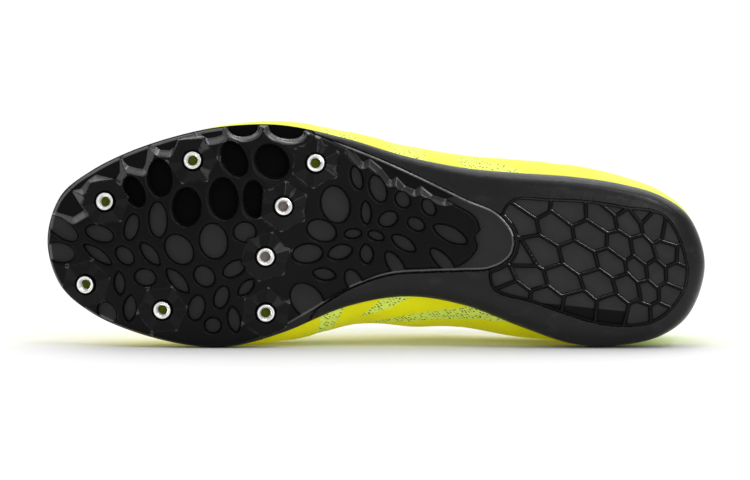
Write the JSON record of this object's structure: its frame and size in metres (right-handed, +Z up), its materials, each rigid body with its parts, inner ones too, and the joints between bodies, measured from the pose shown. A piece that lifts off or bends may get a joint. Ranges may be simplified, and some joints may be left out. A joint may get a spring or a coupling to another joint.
{
  "type": "track training shoe",
  "caption": "Left track training shoe lying on its inner side, with a hollow upper, a moulded spike plate, metal spike sockets and a cellular rubber heel pad.",
  "frame": {"origin": "on the floor, below the middle of the shoe's bounding box as it lies on its inner side", "axes": "+X along the shoe from toe to heel, +Y from the tread into the shoe, +Z up towards the outer side"},
  "size_m": [0.285, 0.0832, 0.0971],
  "materials": {
    "neon_upper": "thin synthetic film over mesh, satin",
    "grey_lining": "brushed textile, matte",
    "black_lace": "woven cord, matte",
    "black_foam": null,
    "grey_plate": "moulded plate with a fine texture, matte",
    "black_web": "moulded plastic, satin",
    "black_rubber": "moulded rubber, matte",
    "bright_steel": "turned and plated, bright"
  },
  "bodies": {
    "root": {"upper": "neon_upper", "tongue": "grey_lining", "insole": "grey_lining", "laces": "black_lace", "midsole": "black_foam", "spike_plate": "grey_plate", "tread_web": "black_web", "heel_pad": "black_rubber", "spike_socket_1": "bright_steel", "spike_socket_2": "bright_steel", "spike_socket_3": "bright_steel", "spike_socket_4": "bright_steel", "spike_socket_5": "bright_steel", "spike_socket_6": "bright_steel", "spike_socket_7": "bright_steel", "spike_socket_8": "bright_steel"}
  },
  "joints": []
}
